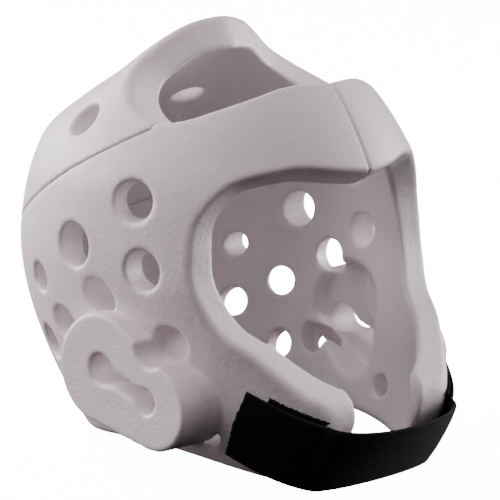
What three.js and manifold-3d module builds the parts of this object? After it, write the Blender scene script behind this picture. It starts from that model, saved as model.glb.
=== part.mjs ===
// Head guard for taekwondo: a dipped foam shell, open at the face and the crown, with a hollow
// pod over each ear, round vents and an elastic strap round the front of the chin.
// Millimetres, +Z up. The front faces -Y, the wearer's right is -X, and the guard stands on Z = 0.
import * as THREE from 'three';
import { mergeVertices } from 'three/addons/utils/BufferGeometryUtils.js';
import Module from 'manifold-3d';

const wasm = await Module();
wasm.setup();

// Driving sizes of the foam shell
const shellHalfWidth = 100;
const shellFront = 128;
const shellRear = 127;
const shellHeight = 229;
const foamWall = 18;
const seamGap = 0.3;

// Shift to the rear that centres the whole guard, strap included, over the origin
const centreShift = 5;

// Openings of the shell
const crownHalfWidth = 79;
const crownFront = 66;
const ventDiameter = 22;
const ventTaper = 0.17;
const rimRise = 11;
const rimFront = 106;
const rimRear = 52;

// Point inside the head that the crown's rim faces run towards, and the same for the brow; the shares say
// how far along those lines a cutter starts and ends
const crownAimForward = 25;
const crownAimUp = 165;
const browAimForward = 20;
const browAimUp = 110;
const cutStart = 0.55;
const cutEnd = 1.2;
const domeStart = 0.55;

// Seam between the crown cap and the side guards, in side view
const seamForward = 17;
const seamUp = 179;
const seamSlope = 0.6;

// Ear pod, seen from the side; it stands out past the shell's widest part
const podStand = 5;
const podSkin = 20.5;
const podRearRadius = 29;
const podRearForward = 9;
const podRearUp = 54.3;
const podFrontRadius = 22;
const podFrontForward = 49.3;
const podFrontUp = 41.2;
const podRoot = 2;
const podBevel = 2;
const hollowRearRadius = 23.5;
const hollowRearForward = 21.5;
const hollowRearUp = 65;
const hollowFrontRadius = 13;
const hollowFrontForward = 33;
const hollowFrontUp = 43;
const slotRoot = 4;
const slotRearRadius = 8;
const slotRearForward = 10.5;
const slotRearUp = 54.4;
const slotFrontRadius = 6;
const slotFrontForward = 44.1;
const slotFrontUp = 43.8;
const slotNeck = 7.5;
const notchRadius = 10;
const notchForward = 44.9;
const notchUp = 72;
const notchDepth = 20;
const notchWall = 6;

// Slanted vent from the foot of the lowest vent out through the pod's rear side: its outer end, and its run
// inwards
const slantRadius = 6.5;
const slantInset = 5;
const slantForward = -9.7;
const slantUp = 34.4;
const slantRun = 22;
const slantAhead = 20.2;
const slantRise = 6.5;

// Chin strap and the hook patches under its ends; the fold and the run over the cheek are of the upper edge,
// in side view
const strapWidth = 38.5;
const strapThickness = 2;
const strapLean = 21;
const strapBow = 8;
const strapTilt = 12;
const patchThickness = 1.6;
const patchSetBack = 10;
const patchReach = 1.5;
const patchShow = 2;
const seatGap = 0.3;
const foldSetBack = 10;
const foldUp = 38;
const cheekRun = 31.5;
const cheekRise = 16.5;

// Steps of the faceted surfaces
const stepsAround = 56;
const ventSides = 16;
const arcSteps = 8;
const bevelSteps = 2;
const strapSteps = 7;
const frontSteps = 8;
const acrossSteps = 4;
const halvings = 30;
const bearingStep = 1;
const placeStep = 0.04;

// Level sections of the shell from below the rim to the top of the dome. up is a share of the height,
// side, front and rear are shares of the half width and the two reaches. brow and nape bend the front and
// rear halves of each section: 1 is an ellipse and less is squarer. wall is a share of the foam's thickness.
const SECTIONS = [
  { up: -0.13, side: 0.62, front: 0.78, rear: 0.4, brow: 0.72, nape: 1, wall: 0.68 },
  { up: 0, side: 0.72, front: 0.885, rear: 0.53, brow: 0.7, nape: 1, wall: 0.7 },
  { up: 0.07, side: 0.77, front: 0.95, rear: 0.66, brow: 0.7, nape: 0.98, wall: 0.74 },
  { up: 0.16, side: 0.83, front: 0.995, rear: 0.79, brow: 0.72, nape: 0.95, wall: 0.84 },
  { up: 0.26, side: 0.885, front: 0.99, rear: 0.91, brow: 0.78, nape: 0.95, wall: 0.94 },
  { up: 0.36, side: 0.945, front: 0.965, rear: 0.985, brow: 0.8, nape: 0.98, wall: 1 },
  { up: 0.46, side: 0.99, front: 0.925, rear: 1, brow: 0.8, nape: 1, wall: 1 },
  { up: 0.57, side: 1, front: 0.86, rear: 0.96, brow: 0.88, nape: 1, wall: 1 },
  { up: 0.655, side: 0.985, front: 0.8, rear: 0.9, brow: 0.97, nape: 1, wall: 1 },
  { up: 0.72, side: 0.92, front: 0.745, rear: 0.835, brow: 1, nape: 1, wall: 1 },
  { up: 0.8, side: 0.8, front: 0.655, rear: 0.64, brow: 1, nape: 1, wall: 1 },
  { up: 0.86, side: 0.68, front: 0.57, rear: 0.475, brow: 1, nape: 1, wall: 1 },
  { up: 0.912, side: 0.56, front: 0.475, rear: 0.36, brow: 1, nape: 1, wall: 1 },
  { up: 0.952, side: 0.43, front: 0.38, rear: 0.27, brow: 1, nape: 1, wall: 1 },
  { up: 0.982, side: 0.31, front: 0.27, rear: 0.18, brow: 1, nape: 1, wall: 1 },
  { up: 1, side: 0.14, front: 0.12, rear: 0.09, brow: 1, nape: 1, wall: 1 },
];

// Vents of one side, through the side guard: bearing in degrees from the front, up as a share of the height,
// across as a share of the vent diameter, and ahead and rise as how far the inner end is moved forward and up
// from square to the surface, in shares of the foam's thickness.
const GUARD_VENTS = [
  { bearing: 77.3, up: 0.628, across: 1, ahead: -0.4, rise: 0 },
  { bearing: 101.5, up: 0.497, across: 1.05, ahead: -0.33, rise: -0.2 },
  { bearing: 72.8, up: 0.476, across: 0.98, ahead: -0.24, rise: -0.15 },
  { bearing: 91, up: 0.387, across: 0.95, ahead: 0.27, rise: -0.16 },
  { bearing: 112.5, up: 0.293, across: 0.85, ahead: 0.44, rise: -0.04 },
  { bearing: 124, up: 0.384, across: 0.7, ahead: -0.35, rise: -0.26 },
  { bearing: 128, up: 0.22, across: 0.85, ahead: 0, rise: 0 },
  { bearing: 106, up: 0.139, across: 0.8, ahead: 0, rise: 0 },
  { bearing: 89, up: 0.163, across: 0.8, ahead: 0, rise: 0.2 },
  { bearing: 51, up: 0.107, across: 0.6, ahead: 0, rise: 0 },
];

// Vents of one side, through the crown cap, with the same columns.
const CAP_VENTS = [
  { bearing: 114.2, up: 0.771, across: 0.9, ahead: 0, rise: 0 },
  { bearing: 161, up: 0.838, across: 0.95, ahead: 0, rise: 0 },
];

// Outer edge of the face opening from the brow's middle down one cheek and past the rim: bearing in degrees
// from the front, up as a share of the height, and across, which is 0 where the cut runs towards the aim
// point behind the brow and 1 where it runs straight across the head.
const FACE_EDGE = [
  { bearing: 0, up: 0.703, across: 0 },
  { bearing: 14, up: 0.713, across: 0 },
  { bearing: 26, up: 0.72, across: 0.05 },
  { bearing: 38, up: 0.706, across: 0.15 },
  { bearing: 47, up: 0.685, across: 0.3 },
  { bearing: 53, up: 0.645, across: 0.45 },
  { bearing: 56.8, up: 0.595, across: 0.65 },
  { bearing: 57.7, up: 0.535, across: 0.85 },
  { bearing: 56.5, up: 0.455, across: 1 },
  { bearing: 49.8, up: 0.369, across: 1 },
  { bearing: 40.6, up: 0.32, across: 1 },
  { bearing: 28.9, up: 0.241, across: 1 },
  { bearing: 23.4, up: 0.212, across: 1 },
  { bearing: 21.3, up: 0.157, across: 1 },
  { bearing: 24, up: 0.065, across: 1 },
  { bearing: 24.5, up: 0, across: 1 },
  { bearing: 25, up: -0.12, across: 1 },
];

// Half of the crown opening's outline in plan, from the brow round the side to the rear: side as a share of
// the opening's half width, forward of its front reach.
const CROWN_EDGE = [
  { side: 0, forward: 1 },
  { side: 0.4, forward: 0.89 },
  { side: 0.65, forward: 0.76 },
  { side: 0.86, forward: 0.56 },
  { side: 0.965, forward: 0.38 },
  { side: 1, forward: 0.22 },
  { side: 0.985, forward: 0.05 },
  { side: 0.92, forward: -0.13 },
  { side: 0.8, forward: -0.28 },
  { side: 0.64, forward: -0.36 },
  { side: 0.45, forward: -0.32 },
  { side: 0.24, forward: -0.25 },
  { side: 0, forward: -0.19 },
];

// Colours and finishes
const dippedFoam = new THREE.MeshStandardMaterial({ color: 0xd9d0d2, roughness: 0.55, metalness: 0 });
const hookPile = new THREE.MeshStandardMaterial({ color: 0x0c0c0d, roughness: 0.95, metalness: 0 });
const webbing = new THREE.MeshStandardMaterial({ color: 0x141314, roughness: 0.85, metalness: 0 });

// Sizes that follow from the ones above
const wideReach = shellHalfWidth * 1.4;
const farReach = shellHeight * 2.5;
const overTop = shellHeight * 1.2;
const podOut = shellHalfWidth + podStand;
const hollowOut = podOut - podSkin;
const notchFloor = podOut - notchDepth;
const podRear = { forward: podRearForward, up: podRearUp, radius: podRearRadius };
const podFront = { forward: podFrontForward, up: podFrontUp, radius: podFrontRadius };
const hollowRear = { forward: hollowRearForward, up: hollowRearUp, radius: hollowRearRadius };
const hollowFront = { forward: hollowFrontForward, up: hollowFrontUp, radius: hollowFrontRadius };
const slotRear = { forward: slotRearForward, up: slotRearUp, radius: slotRearRadius };
const slotFront = { forward: slotFrontForward, up: slotFrontUp, radius: slotFrontRadius };
const patchOut = seatGap + patchThickness;
const strapIn = patchOut + seatGap;
const foldForward = shellFront - foldSetBack;
const strapEndForward = foldForward - cheekRun;
const strapEndUp = foldUp + cheekRise;
const lean = THREE.MathUtils.degToRad(strapLean);
const tilt = THREE.MathUtils.degToRad(strapTilt);

// Smooth curve through four neighbouring values, between the second and the third.
function blend(before, from, to, after, share) {
  const leave = (to - before) / 2;
  const arrive = (after - from) / 2;
  const square = share * share;
  const cube = square * share;
  return (2 * from - 2 * to + leave + arrive) * cube
    + (3 * to - 3 * from - 2 * leave - arrive) * square + leave * share + from;
}

// Value of one column of SECTIONS at a place that counts along its rows.
function sectionValue(column, place) {
  const last = SECTIONS.length - 1;
  const row = THREE.MathUtils.clamp(Math.floor(place), 0, last - 1);
  const value = (index) => SECTIONS[THREE.MathUtils.clamp(index, 0, last)][column];
  return blend(value(row - 1), value(row), value(row + 1), value(row + 2), place - row);
}

// Place along the rows where a rising test turns true, found by halving.
function placeWhere(isBeyond) {
  let below = 0;
  let above = SECTIONS.length - 1;
  for (let halving = 0; halving < halvings; halving += 1) {
    const middle = (below + above) / 2;
    if (isBeyond(middle)) {
      above = middle;
    } else {
      below = middle;
    }
  }
  return (below + above) / 2;
}

// Place along the rows that lies at a height.
function placeAt(up) {
  return placeWhere((place) => sectionValue('up', place) * shellHeight > up);
}

// Half width, reach and bend of the section at a place, for its front half or its rear half.
function halfSection(place, isFront) {
  return {
    side: sectionValue('side', place) * shellHalfWidth,
    reach: isFront ? sectionValue('front', place) * shellFront : sectionValue('rear', place) * shellRear,
    bend: sectionValue(isFront ? 'brow' : 'nape', place),
  };
}

// Point of the shell's outer surface at a place and a bearing in degrees, from the front over the left.
function surfacePoint(place, bearing) {
  const angle = THREE.MathUtils.degToRad(bearing);
  const aside = Math.sin(angle);
  const ahead = Math.cos(angle);
  const { side, reach, bend } = halfSection(place, ahead >= 0);
  const size = Math.abs(aside / side) ** (2 / bend) + Math.abs(ahead / reach) ** (2 / bend);
  const radius = size ** (-bend / 2);
  return new THREE.Vector3(radius * aside, -radius * ahead, sectionValue('up', place) * shellHeight);
}

// Outward normal of the shell's outer surface.
function surfaceNormal(place, bearing) {
  const along = surfacePoint(place, bearing + bearingStep).sub(surfacePoint(place, bearing - bearingStep));
  const upward = surfacePoint(place + placeStep, bearing).sub(surfacePoint(place - placeStep, bearing));
  return along.cross(upward).normalize();
}

// Point at a distance outside the shell's flank on the wearer's right, seen from the side.
function flankPoint(forward, up, out) {
  const place = placeAt(up);
  const { side, reach, bend } = halfSection(place, forward >= 0);
  const x = side * Math.max(1 - Math.abs(forward / reach) ** (2 / bend), 0) ** (bend / 2);
  const bearing = THREE.MathUtils.radToDeg(Math.atan2(-x, forward));
  return surfacePoint(place, bearing).addScaledVector(surfaceNormal(place, bearing), out);
}

// Point of the dome above a place in plan.
function domePoint(x, forward) {
  const isOutside = (place) => {
    const { side, reach, bend } = halfSection(place, forward >= 0);
    const beyondWidest = sectionValue('up', place) > domeStart;
    return beyondWidest && Math.abs(x / side) ** (2 / bend) + Math.abs(forward / reach) ** (2 / bend) > 1;
  };
  return new THREE.Vector3(x, -forward, sectionValue('up', placeWhere(isOutside)) * shellHeight);
}

// Closed mesh through rings of equal counts; each end is a fan round the middle given for it or its own.
function loftGeometry(rings, startMiddle, endMiddle) {
  const count = rings[0].length;
  const middle = (ring) => ring.reduce((sum, point) => sum.add(point), new THREE.Vector3()).divideScalar(count);
  const points = rings.flat();
  const start = points.length;
  points.push(startMiddle ?? middle(rings[0]), endMiddle ?? middle(rings[rings.length - 1]));
  const top = (rings.length - 1) * count;
  const index = [];
  for (let i = 0; i < count; i += 1) {
    const next = (i + 1) % count;
    for (let base = 0; base < top; base += count) {
      index.push(base + i, base + next, base + next + count);
      index.push(base + i, base + next + count, base + i + count);
    }
    index.push(start, next, i);
    index.push(start + 1, top + i, top + next);
  }
  const geometry = new THREE.BufferGeometry().setFromPoints(points);
  geometry.setIndex(index);
  return geometry;
}

// Solid of a closed geometry, for joining and cutting.
function solidOf(geometry) {
  const bare = geometry.clone();
  bare.deleteAttribute('normal');
  bare.deleteAttribute('uv');
  const merged = mergeVertices(bare, 1e-4);
  return new wasm.Manifold(new wasm.Mesh({
    numProp: 3,
    vertProperties: new Float32Array(merged.attributes.position.array),
    triVerts: new Uint32Array(merged.index.array),
  }));
}

// Geometry of a finished solid.
function geometryOf(solid) {
  const mesh = solid.getMesh();
  const geometry = new THREE.BufferGeometry();
  geometry.setAttribute('position', new THREE.BufferAttribute(new Float32Array(mesh.vertProperties), 3));
  geometry.setIndex(new THREE.BufferAttribute(new Uint32Array(mesh.triVerts), 1));
  return geometry;
}

// The same geometry on the other side of the head, with its faces turned round again.
function mirrored(geometry) {
  const twin = geometry.clone().scale(-1, 1, 1);
  const { index } = twin;
  for (let i = 0; i < index.count; i += 3) {
    const second = index.getX(i + 1);
    index.setX(i + 1, index.getX(i + 2));
    index.setX(i + 2, second);
  }
  return twin;
}

// Named mesh of a geometry in its centred place, with flat facets.
function piece(name, geometry, material) {
  const faceted = geometry.toNonIndexed().translate(0, centreShift, 0);
  faceted.computeVertexNormals();
  const mesh = new THREE.Mesh(faceted, material);
  mesh.name = name;
  return mesh;
}

// Solid inside the shell's outer surface moved outwards by a distance, or inwards by shares of the wall.
function shellSolid(outset, wall = 0) {
  const rings = SECTIONS.map((row, place) => {
    const ring = [];
    for (let i = 0; i < stepsAround; i += 1) {
      const bearing = (i / stepsAround) * 360;
      const out = outset - row.wall * wall;
      ring.push(surfacePoint(place, bearing).addScaledVector(surfaceNormal(place, bearing), out));
    }
    return ring;
  });
  return solidOf(loftGeometry(rings));
}

// Solid of a shape in side view, x forward and y up, carried out to the wearer's right.
function sideSolid(shape, from, to, bevel = 0) {
  const geometry = new THREE.ExtrudeGeometry(shape, {
    depth: to - from - bevel,
    bevelEnabled: bevel > 0,
    bevelThickness: bevel,
    bevelSize: bevel,
    bevelOffset: -bevel,
    bevelSegments: bevelSteps,
    curveSegments: arcSteps,
  });
  const outward = new THREE.Matrix4().makeBasis(
    new THREE.Vector3(0, -1, 0),
    new THREE.Vector3(0, 0, 1),
    new THREE.Vector3(-1, 0, 0),
  );
  return solidOf(geometry.translate(0, 0, from).applyMatrix4(outward));
}

// Shape through corner points given as forward and up.
function cornerShape(corners) {
  return new THREE.Shape(corners.map(([forward, up]) => new THREE.Vector2(forward, up)));
}

// Geometry of a round cutter between two points, with a radius at each.
function boreGeometry(inner, outer, innerRadius, outerRadius) {
  const axis = outer.clone().sub(inner);
  const length = axis.length();
  const middle = inner.clone().add(outer).divideScalar(2);
  const aligned = new THREE.Quaternion().setFromUnitVectors(new THREE.Vector3(0, 1, 0), axis.normalize());
  const geometry = new THREE.CylinderGeometry(outerRadius, innerRadius, length, ventSides);
  return geometry.applyQuaternion(aligned).translate(middle.x, middle.y, middle.z);
}

// Geometry of a vent cutter on the wearer's right, narrower towards the inside and past both surfaces.
function ventGeometry({ bearing, up, across, ahead, rise }) {
  const place = placeAt(up * shellHeight);
  const mouth = surfacePoint(place, -bearing);
  const end = mouth.clone().addScaledVector(surfaceNormal(place, -bearing), -foamWall);
  end.add(new THREE.Vector3(0, -ahead * foamWall, rise * foamWall));
  const outward = mouth.clone().sub(end).setLength(foamWall);
  const radius = (across * ventDiameter) / 2;
  return boreGeometry(
    end.sub(outward),
    mouth.add(outward),
    radius * (1 - 2 * ventTaper),
    radius * (1 + ventTaper),
  );
}

// Cutter between a closed outline and its smaller copy, along lines from each point to its own aim point.
function aimedCutter(outline, aims, outerMiddle, innerMiddle) {
  const carried = (share) => outline.map((point, i) => aims[i].clone().lerp(point, share));
  return solidOf(loftGeometry([carried(cutStart), carried(cutEnd)], innerMiddle, outerMiddle));
}

// Cutter for the crown opening.
function crownCutter() {
  const plan = (row, hand) => new THREE.Vector3(hand * row.side * crownHalfWidth, row.forward * crownFront, 0);
  const left = CROWN_EDGE.map((row) => plan(row, 1));
  const right = CROWN_EDGE.slice(1, -1).reverse().map((row) => plan(row, -1));
  const curve = new THREE.CatmullRomCurve3([...left, ...right], true, 'catmullrom');
  const outline = curve.getPoints(stepsAround).slice(0, -1).map((point) => domePoint(point.x, point.y));
  const aim = new THREE.Vector3(0, -crownAimForward, crownAimUp);
  const above = new THREE.Vector3(0, 0, overTop);
  return aimedCutter(outline, outline.map(() => aim), above, aim);
}

// Cutter for the face opening and the chin gap below it.
function faceCutter() {
  const browAim = new THREE.Vector3(0, -browAimForward, browAimUp);
  const edge = (row, hand) => surfacePoint(placeAt(row.up * shellHeight), hand * row.bearing);
  const aim = (row) => {
    const point = edge(row, 1);
    return browAim.clone().lerp(new THREE.Vector3(0, point.y, point.z), row.across);
  };
  const back = FACE_EDGE.slice(1).reverse();
  const outline = [...FACE_EDGE.map((row) => edge(row, -1)), ...back.map((row) => edge(row, 1))];
  const aims = [...FACE_EDGE, ...back].map(aim);
  const ahead = new THREE.Vector3(0, -shellFront * 2, browAimUp);
  const behind = new THREE.Vector3(0, 0, browAimUp);
  return aimedCutter(outline, aims, ahead, behind);
}

// Cutter for what lies below the rim, which arches up between its front and rear rests.
function rimCutter() {
  const shape = cornerShape([[-farReach, -wideReach], [-farReach, 0], [-rimRear, 0]]);
  shape.quadraticCurveTo((rimFront - rimRear) / 2, rimRise * 2, rimFront, 0);
  shape.lineTo(farReach, 0);
  shape.lineTo(farReach, -wideReach);
  return sideSolid(shape, -wideReach, wideReach);
}

// Space above the crown cap's seam; grow moves its lower and front sides outwards.
function capZone(grow) {
  const drop = seamSlope * (seamForward + farReach);
  const shape = cornerShape([
    [seamForward + grow, seamUp - grow],
    [seamForward + grow, overTop],
    [-farReach, overTop],
    [-farReach, seamUp - drop - grow],
  ]);
  return sideSolid(shape, -wideReach, wideReach);
}

// Block that holds the wearer's right half, as far as the middle seam.
function rightHalf() {
  const block = new THREE.BoxGeometry(farReach, farReach, farReach);
  return solidOf(block.translate(-(farReach + seamGap) / 2, 0, 0));
}

// Shape of two round ends in side view; the lean angles say where each end's arc meets the side between them.
function twoEndedShape(rear, front, rearLean, frontLean) {
  const slope = Math.atan2(front.up - rear.up, front.forward - rear.forward);
  const turn = Math.PI * 2;
  const shape = new THREE.Shape();
  shape.absarc(rear.forward, rear.up, rear.radius, slope + rearLean, slope - rearLean + turn, false);
  shape.absarc(front.forward, front.up, front.radius, slope - frontLean, slope + frontLean, false);
  return shape;
}

// Shape of two lobes with straight sides that touch both.
function lobedShape(rear, front) {
  const length = Math.hypot(front.up - rear.up, front.forward - rear.forward);
  const sideLean = Math.acos((rear.radius - front.radius) / length);
  return twoEndedShape(rear, front, sideLean, sideLean);
}

// Shape of the slot through the pod's outer face: two round ends and a narrower neck.
function slotShape() {
  const rearLean = Math.asin(slotNeck / 2 / slotRearRadius);
  const frontLean = Math.PI - Math.asin(slotNeck / 2 / slotFrontRadius);
  return twoEndedShape(slotRear, slotFront, rearLean, frontLean);
}

// Shape of the round notch in the pod's edge, wider by a margin.
function notchShape(margin) {
  return new THREE.Shape().absarc(notchForward, notchUp, notchRadius + margin, 0, Math.PI * 2, false);
}

// Hollow for the ear, with foam left behind the notch.
function hollowCutter() {
  const behindNotch = sideSolid(notchShape(notchWall), notchFloor - notchWall, wideReach);
  return sideSolid(lobedShape(hollowRear, hollowFront), 0, hollowOut).subtract(behindNotch);
}

// Cutter for the slanted vent.
function slantCutter() {
  const end = new THREE.Vector3(slantInset - podOut, -slantForward, slantUp);
  const start = end.clone().add(new THREE.Vector3(slantRun, -slantAhead, slantRise));
  return solidOf(boreGeometry(start, end, slantRadius, slantRadius));
}

const outer = shellSolid(0);
const inner = shellSolid(0, foamWall);
const crown = crownCutter();
const face = faceCutter();
const rim = rimCutter();

// Guard of the wearer's right: half the brow band, temple, cheek, ear pod and half the lower back.
function sideGuard() {
  let guard = outer;
  for (const vent of GUARD_VENTS) {
    guard = guard.subtract(solidOf(ventGeometry(vent)));
  }
  const pod = sideSolid(lobedShape(podRear, podFront), shellHalfWidth / 2, podOut, podBevel);
  guard = guard.add(pod.subtract(shellSolid(-podRoot))).subtract(inner).subtract(hollowCutter());
  guard = guard.subtract(sideSolid(slotShape(), hollowOut - slotRoot, wideReach)).subtract(slantCutter());
  guard = guard.subtract(sideSolid(notchShape(0), notchFloor, wideReach));
  return guard.subtract(face).subtract(crown).subtract(rim).subtract(capZone(seamGap)).intersect(rightHalf());
}

// Crown cap: the rear dome above the seam, behind the crown opening.
function crownCap() {
  let cap = outer.subtract(inner).intersect(capZone(0)).subtract(crown);
  for (const vent of CAP_VENTS) {
    const right = ventGeometry(vent);
    cap = cap.subtract(solidOf(right)).subtract(solidOf(mirrored(right)));
  }
  return cap;
}

// Place of the strap on the right cheek in side view: along from its end to the fold, and down its width.
function strapPlace(along, down) {
  const drop = strapWidth * down;
  return {
    forward: THREE.MathUtils.lerp(strapEndForward, foldForward, along) - drop * Math.sin(lean),
    up: THREE.MathUtils.lerp(strapEndUp, foldUp, along) - drop * Math.cos(lean),
  };
}

// Hook patch on the right cheek, between the shell and the strap.
function hookPatch() {
  const start = patchSetBack / Math.hypot(cheekRun, cheekRise);
  const show = patchShow / strapWidth;
  const corners = [[start, -show], [patchReach, -show], [patchReach, 1 - show], [start, 1 - show]];
  const shape = cornerShape(corners.map(([along, down]) => {
    const { forward, up } = strapPlace(along, down);
    return [forward, up];
  }));
  const skin = shellSolid(patchOut).subtract(shellSolid(seatGap));
  return skin.intersect(sideSolid(shape, 0, wideReach)).subtract(face).subtract(rim);
}

// Ring round the strap at one place along the right cheek: down its outer side and up its inner side.
function strapRing(along) {
  const line = (out) => Array.from({ length: acrossSteps + 1 }, (_, step) => {
    const { forward, up } = strapPlace(along, step / acrossSteps);
    return flankPoint(forward, up, out);
  });
  return [...line(strapIn + strapThickness), ...line(strapIn).reverse()];
}

// Ring round the strap in front of the chin, made from the ring at the right fold: the strap bows forward
// between the folds and its upper edge tips forward about the lower edge.
function frontRing(fold, across) {
  const ease = Math.sqrt(1 - across * across);
  const lowEdge = fold[acrossSteps];
  const tip = new THREE.Matrix4().makeRotationX(tilt * ease);
  return fold.map((point) => {
    const placed = point.clone().sub(lowEdge).applyMatrix4(tip).add(lowEdge);
    return new THREE.Vector3(-placed.x * across, placed.y - strapBow * ease, placed.z);
  });
}

// Chin strap: along the right cheek, round the front of the chin and back along the left cheek.
function strapGeometry() {
  const right = Array.from({ length: strapSteps + 1 }, (_, step) => strapRing(step / strapSteps));
  const left = right.map((ring) => ring.map((point) => new THREE.Vector3(-point.x, point.y, point.z))).reverse();
  const front = Array.from({ length: frontSteps - 1 }, (_, step) => (
    frontRing(right[strapSteps], -Math.cos((Math.PI * (step + 1)) / frontSteps))
  ));
  return loftGeometry([...right, ...front, ...left]);
}

const guardRight = geometryOf(sideGuard());
const patchRight = geometryOf(hookPatch());

const foam = new THREE.Group();
foam.name = 'foam_shell';
foam.add(piece('side_guard_right', guardRight, dippedFoam));
foam.add(piece('side_guard_left', mirrored(guardRight), dippedFoam));
foam.add(piece('crown_cap', geometryOf(crownCap()), dippedFoam));

const fastening = new THREE.Group();
fastening.name = 'chin_fastening';
fastening.add(piece('hook_patch_right', patchRight, hookPile));
fastening.add(piece('hook_patch_left', mirrored(patchRight), hookPile));
fastening.add(piece('chin_strap', strapGeometry(), webbing));

const headGuard = new THREE.Group();
headGuard.name = 'head_guard';
headGuard.add(foam, fastening);

export default headGuard;
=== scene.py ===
"""Taekwondo head guard dressed round its frame: dipped foam shell, ear pods, hook patches and strap."""

import logging
import math
from dataclasses import dataclass, field
from enum import Enum

import bpy
import numpy as np
import openvdb as vdb
from mathutils import Matrix, Vector


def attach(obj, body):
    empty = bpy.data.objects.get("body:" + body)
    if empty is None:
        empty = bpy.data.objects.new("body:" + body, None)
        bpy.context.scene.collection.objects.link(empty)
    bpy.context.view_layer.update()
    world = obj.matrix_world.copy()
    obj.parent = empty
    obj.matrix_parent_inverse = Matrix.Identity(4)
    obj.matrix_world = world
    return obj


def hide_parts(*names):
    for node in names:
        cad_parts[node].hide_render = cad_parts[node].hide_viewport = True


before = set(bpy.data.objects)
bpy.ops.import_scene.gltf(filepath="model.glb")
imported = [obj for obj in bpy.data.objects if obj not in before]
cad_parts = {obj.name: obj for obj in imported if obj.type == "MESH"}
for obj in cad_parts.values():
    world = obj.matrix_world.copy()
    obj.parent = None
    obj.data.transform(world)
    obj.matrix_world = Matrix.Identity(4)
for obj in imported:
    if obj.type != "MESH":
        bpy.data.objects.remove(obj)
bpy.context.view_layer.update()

log = logging.getLogger("head_guard")

# Shapes are worked out in millimetres and meshes are in metres
METRES = 0.001

# Driving sizes, the same as the frame's
SHELL_HALF_WIDTH = 100.0
SHELL_FRONT = 128.0
SHELL_REAR = 127.0
SHELL_HEIGHT = 229.0
FOAM_WALL = 18.0
CENTRE_SHIFT = 5.0

# Scale of the wave texture at which one band is one unit wide
BAND_SCALE = math.pi / 10

Array = np.ndarray
Arrays = tuple[Array, Array]
Pair = tuple[float, float]
Point = tuple[float, float, float]
Colour = tuple[float, float, float, float]
Corner = tuple[int, int, int]
Piece = bpy.types.Object
Material = bpy.types.Material
Node = bpy.types.Node
Socket = bpy.types.NodeSocket

# Level sections of the shell, the same as the frame's: heights, widths and reaches are shares of the shell's
# sizes, brow and nape bend the front and rear halves, and wall is a share of the foam's thickness
SECTION_COLUMNS = ("up", "side", "front", "rear", "brow", "nape", "wall")
SECTIONS = np.array([
    (-0.13, 0.62, 0.78, 0.4, 0.72, 1, 0.68),
    (0, 0.72, 0.885, 0.53, 0.7, 1, 0.7),
    (0.07, 0.77, 0.95, 0.66, 0.7, 0.98, 0.74),
    (0.16, 0.83, 0.995, 0.79, 0.72, 0.95, 0.84),
    (0.26, 0.885, 0.99, 0.91, 0.78, 0.95, 0.94),
    (0.36, 0.945, 0.965, 0.985, 0.8, 0.98, 1),
    (0.46, 0.99, 0.925, 1, 0.8, 1, 1),
    (0.57, 1, 0.86, 0.96, 0.88, 1, 1),
    (0.655, 0.985, 0.8, 0.9, 0.97, 1, 1),
    (0.72, 0.92, 0.745, 0.835, 1, 1, 1),
    (0.8, 0.8, 0.655, 0.64, 1, 1, 1),
    (0.86, 0.68, 0.57, 0.475, 1, 1, 1),
    (0.912, 0.56, 0.475, 0.36, 1, 1, 1),
    (0.952, 0.43, 0.38, 0.27, 1, 1, 1),
    (0.982, 0.31, 0.27, 0.18, 1, 1, 1),
    (1, 0.14, 0.12, 0.09, 1, 1, 1),
])

# Vents of one side: bearing in degrees from the front, height share, share of the vent diameter, and how far
# the inner end is moved forward and up from square to the surface, in shares of the foam's thickness
VENTS = (
    (77.3, 0.628, 1, -0.4, 0),
    (101.5, 0.497, 1.05, -0.33, -0.2),
    (72.8, 0.476, 0.98, -0.24, -0.15),
    (91, 0.387, 0.95, 0.27, -0.16),
    (112.5, 0.293, 0.85, 0.44, -0.04),
    (124, 0.384, 0.7, -0.35, -0.26),
    (128, 0.22, 0.85, 0, 0),
    (106, 0.139, 0.8, 0, 0),
    (89, 0.163, 0.8, 0, 0.2),
    (51, 0.107, 0.6, 0, 0),
    (114.2, 0.771, 0.9, 0, 0),
    (161, 0.838, 0.95, 0, 0),
)

# Outer edge of the face opening down one cheek: bearing, height share, and how far the cut runs straight
# across
FACE_EDGE = np.array([
    (0, 0.703, 0),
    (14, 0.713, 0),
    (26, 0.72, 0.05),
    (38, 0.706, 0.15),
    (47, 0.685, 0.3),
    (53, 0.645, 0.45),
    (56.8, 0.595, 0.65),
    (57.7, 0.535, 0.85),
    (56.5, 0.455, 1),
    (49.8, 0.369, 1),
    (40.6, 0.32, 1),
    (28.9, 0.241, 1),
    (23.4, 0.212, 1),
    (21.3, 0.157, 1),
    (24, 0.065, 1),
    (24.5, 0, 1),
    (25, -0.12, 1),
])

# Half of the crown opening in plan: share of its half width, share of its front reach
CROWN_EDGE = np.array([
    (0, 1),
    (0.4, 0.89),
    (0.65, 0.76),
    (0.86, 0.56),
    (0.965, 0.38),
    (1, 0.22),
    (0.985, 0.05),
    (0.92, -0.13),
    (0.8, -0.28),
    (0.64, -0.36),
    (0.45, -0.32),
    (0.24, -0.25),
    (0, -0.19),
])


class Side(Enum):
    """Side of the head."""

    RIGHT = "right"
    LEFT = "left"


class Zone(Enum):
    """Part of the shell that one moulded piece covers."""

    RIGHT = "side_guard_right"
    LEFT = "side_guard_left"
    CROWN = "crown_cap"


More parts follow.
